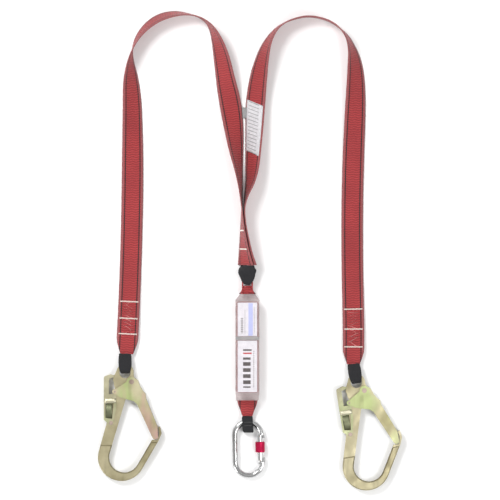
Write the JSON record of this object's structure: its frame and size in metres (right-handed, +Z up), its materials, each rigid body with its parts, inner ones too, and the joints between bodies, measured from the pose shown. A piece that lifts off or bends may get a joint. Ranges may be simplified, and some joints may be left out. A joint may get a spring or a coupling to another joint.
{
  "type": "shock absorbing lanyard",
  "caption": "Fall-arrest lanyard: webbing legs with large locking hooks join at a covered tear-out absorber that ends in an oval screw-gate carabiner.",
  "frame": {"origin": "bottom centre of the box around the hardware and absorber, on the surface that the lanyard lies on", "axes": "+Z up from the surface, +Y from the carabiner towards the webbing arches, +X from the left hook to the right hook"},
  "size_m": [0.5616, 0.8867, 0.0409],
  "materials": {
    "webbing_red": "woven, satin",
    "webbing_black": "woven, matt",
    "thread": "sewn",
    "label": "matt",
    "cover": "clear",
    "tear": "folded",
    "hook_metal": "yellow zinc",
    "gate_metal": "yellow zinc",
    "steel": "satin",
    "carabiner_metal": "polished zinc",
    "sleeve_metal": "anodised"
  },
  "bodies": {
    "webbing": {"leg_webbing_left": "webbing_red", "leg_webbing_right": "webbing_red", "eye_sleeve_left": "webbing_black", "eye_sleeve_right": "webbing_black", "junction_sleeve": "webbing_black", "leg_stitching_left": "thread", "leg_stitching_right": "thread", "junction_stitching": "thread", "id_label": "label"},
    "absorber": {"tear_webbing_pack": "tear", "absorber_cover": "cover", "cover_divider": "cover", "upper_label": "label", "lower_label": "label", "absorber_top_loop": "webbing_red", "absorber_bottom_loop": "webbing_red", "absorber_loop_sleeve": "webbing_black", "absorber_loop_stitching": "thread"},
    "carabiner": {"carabiner_body": "carabiner_metal", "carabiner_hinge_pin": "steel"},
    "carabiner_gate_group": {"carabiner_gate": "carabiner_metal", "carabiner_latch_pin": "steel", "carabiner_gate_spring": "steel", "carabiner_plunger": "steel"},
    "carabiner_screw_group": {"screw_sleeve": "sleeve_metal"},
    "left_hook": {"left_hook_body": "hook_metal", "left_gate_pivot_rivet": "steel", "left_lever_rivet": "steel", "left_gate_spring": "steel"},
    "left_hook_gate": {"left_gate": "gate_metal", "left_gate_tail_pin": "steel"},
    "left_hook_lever": {"left_lock_lever": "gate_metal", "left_lever_spring": "steel"},
    "right_hook": {"right_hook_body": "hook_metal", "right_gate_pivot_rivet": "steel", "right_lever_rivet": "steel", "right_gate_spring": "steel"},
    "right_hook_gate": {"right_gate": "gate_metal", "right_gate_tail_pin": "steel"},
    "right_hook_lever": {"right_lock_lever": "gate_metal", "right_lever_spring": "steel"}
  },
  "joints": [
    {"name": "absorber_swing", "type": "hinge", "parent": "webbing", "child": "absorber", "pos_m": [-0.0048, 0.1764, 0.01], "axis": [0, 0, 1], "range_deg": [-15, 15]},
    {"name": "carabiner_swing", "type": "hinge", "parent": "absorber", "child": "carabiner", "pos_m": [-0.0035, -0.1066, 0.009], "axis": [0, 0, 1], "range_deg": [-20, 20]},
    {"name": "carabiner_gate_open", "type": "hinge", "parent": "carabiner", "child": "carabiner_gate_group", "pos_m": [0.01921, -0.15252, 0.009], "axis": [0, 0, 1], "range_deg": [0, 22], "stiffness_Nm_per_rad": 0.1, "springref_deg": -17.19},
    {"name": "screw_sleeve_travel", "type": "slide", "parent": "carabiner_gate_group", "child": "carabiner_screw_group", "axis": [-0.0262, 0.9997, 0], "range_m": [0, 0.005]},
    {"name": "left_hook_swing", "type": "hinge", "parent": "webbing", "child": "left_hook", "pos_m": [-0.2308, 0.01, 0.01], "axis": [0, 0, 1], "range_deg": [-25, 25]},
    {"name": "left_gate_open", "type": "hinge", "parent": "left_hook", "child": "left_hook_gate", "pos_m": [-0.2186, -0.0073, 0.01], "axis": [0, 0, -1], "range_deg": [0, 26], "stiffness_Nm_per_rad": 0.3, "springref_deg": -17.19},
    {"name": "left_lever_squeeze", "type": "hinge", "parent": "left_hook", "child": "left_hook_lever", "pos_m": [-0.2567, -0.0833, 0.01], "axis": [0, 0, -1], "range_deg": [0, 3], "stiffness_Nm_per_rad": 0.5, "springref_deg": -5.73},
    {"name": "right_hook_swing", "type": "hinge", "parent": "webbing", "child": "right_hook", "pos_m": [0.1965, -0.0083, 0.01], "axis": [0, 0, 1], "range_deg": [-25, 25]},
    {"name": "right_gate_open", "type": "hinge", "parent": "right_hook", "child": "right_hook_gate", "pos_m": [0.21126, -0.02348, 0.01], "axis": [0, 0, -1], "range_deg": [0, 26], "stiffness_Nm_per_rad": 0.3, "springref_deg": -17.19},
    {"name": "right_lever_squeeze", "type": "hinge", "parent": "right_hook", "child": "right_hook_lever", "pos_m": [0.18551, -0.1045, 0.01], "axis": [0, 0, -1], "range_deg": [0, 3], "stiffness_Nm_per_rad": 0.5, "springref_deg": -5.73}
  ]
}
